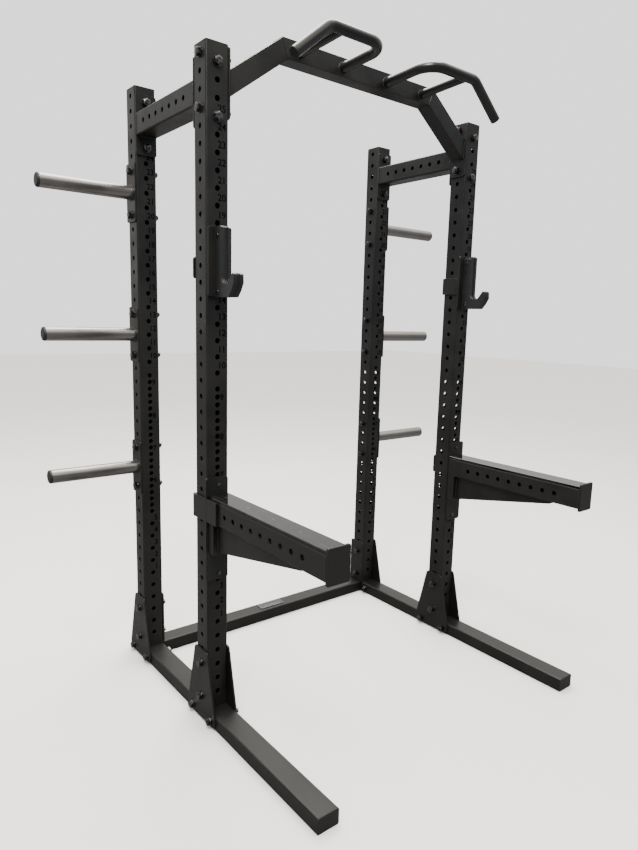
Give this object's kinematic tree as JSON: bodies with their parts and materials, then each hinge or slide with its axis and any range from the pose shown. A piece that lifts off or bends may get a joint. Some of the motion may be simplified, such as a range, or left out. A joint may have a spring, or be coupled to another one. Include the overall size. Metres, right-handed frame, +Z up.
{
  "type": "power cage",
  "caption": "Free-standing steel half rack with drilled square uprights, raised pull-up bar with angled grips, plate horns, lift-off J-cups and spotter arms.",
  "frame": {"origin": "middle of the footprint of the whole object, on the floor", "axes": "+Z up, -Y the open front where the lifter stands, +X to the viewer's right from the front"},
  "size_m": [1.882, 1.2664, 2.213],
  "materials": {
    "frame_black": "fine-textured satin black powder coat",
    "plug_plastic": "matt moulded black",
    "liner_plastic": "smooth glossy black",
    "bolt_steel": "black zinc, semi-gloss",
    "pin_steel": "turned bright steel",
    "badge_metal": "satin, blank"
  },
  "bodies": {
    "frame": {"base_rail_left": "frame_black", "base_rail_right": "frame_black", "blank_name_plate": "badge_metal", "cross_tube_end_plates": "frame_black", "end_flanges": "frame_black", "grip_end_plugs": "plug_plastic", "gusset_plates": "frame_black", "hex_bolts": "bolt_steel", "hex_nuts": "bolt_steel", "horn_end_caps": "plug_plastic", "horn_plates": "frame_black", "horn_tubes": "frame_black", "pullup_braces": "frame_black", "pullup_grip_left": "frame_black", "pullup_grip_right": "frame_black", "pullup_risers": "frame_black", "pullup_top_tube": "frame_black", "rail_end_caps": "plug_plastic", "rear_cross_tube": "frame_black", "side_tube_left": "frame_black", "side_tube_right": "frame_black", "upright_caps": "plug_plastic", "upright_front_left": "frame_black", "upright_front_right": "frame_black", "upright_rear_left": "frame_black", "upright_rear_right": "frame_black", "washers": "bolt_steel"},
    "j_cup_left": {"j_cup_left_back_plate": "frame_black", "j_cup_left_cheeks": "liner_plastic", "j_cup_left_hook": "frame_black", "j_cup_left_pin": "pin_steel", "j_cup_left_screws": "bolt_steel", "j_cup_left_strap": "frame_black"},
    "spotter_left": {"spotter_left_arm_tube": "frame_black", "spotter_left_back_plate": "frame_black", "spotter_left_end_plate": "frame_black", "spotter_left_gusset": "frame_black", "spotter_left_pin": "pin_steel", "spotter_left_screws": "bolt_steel", "spotter_left_spine": "frame_black", "spotter_left_strap": "frame_black", "spotter_left_top_strip": "liner_plastic"},
    "j_cup_right": {"j_cup_right_back_plate": "frame_black", "j_cup_right_cheeks": "liner_plastic", "j_cup_right_hook": "frame_black", "j_cup_right_pin": "pin_steel", "j_cup_right_screws": "bolt_steel", "j_cup_right_strap": "frame_black"},
    "spotter_right": {"spotter_right_arm_tube": "frame_black", "spotter_right_back_plate": "frame_black", "spotter_right_end_plate": "frame_black", "spotter_right_gusset": "frame_black", "spotter_right_pin": "pin_steel", "spotter_right_screws": "bolt_steel", "spotter_right_spine": "frame_black", "spotter_right_strap": "frame_black", "spotter_right_top_strip": "liner_plastic"}
  },
  "joints": [
    {"name": "j_cup_left_lift_off", "type": "slide", "parent": "frame", "child": "j_cup_left", "axis": [1, 0, 0], "range_m": [0, 0.1]},
    {"name": "spotter_left_lift_off", "type": "slide", "parent": "frame", "child": "spotter_left", "axis": [-1, 0, 0], "range_m": [0, 0.1]},
    {"name": "j_cup_right_lift_off", "type": "slide", "parent": "frame", "child": "j_cup_right", "axis": [-1, 0, 0], "range_m": [0, 0.1]},
    {"name": "spotter_right_lift_off", "type": "slide", "parent": "frame", "child": "spotter_right", "axis": [1, 0, 0], "range_m": [0, 0.1]}
  ]
}
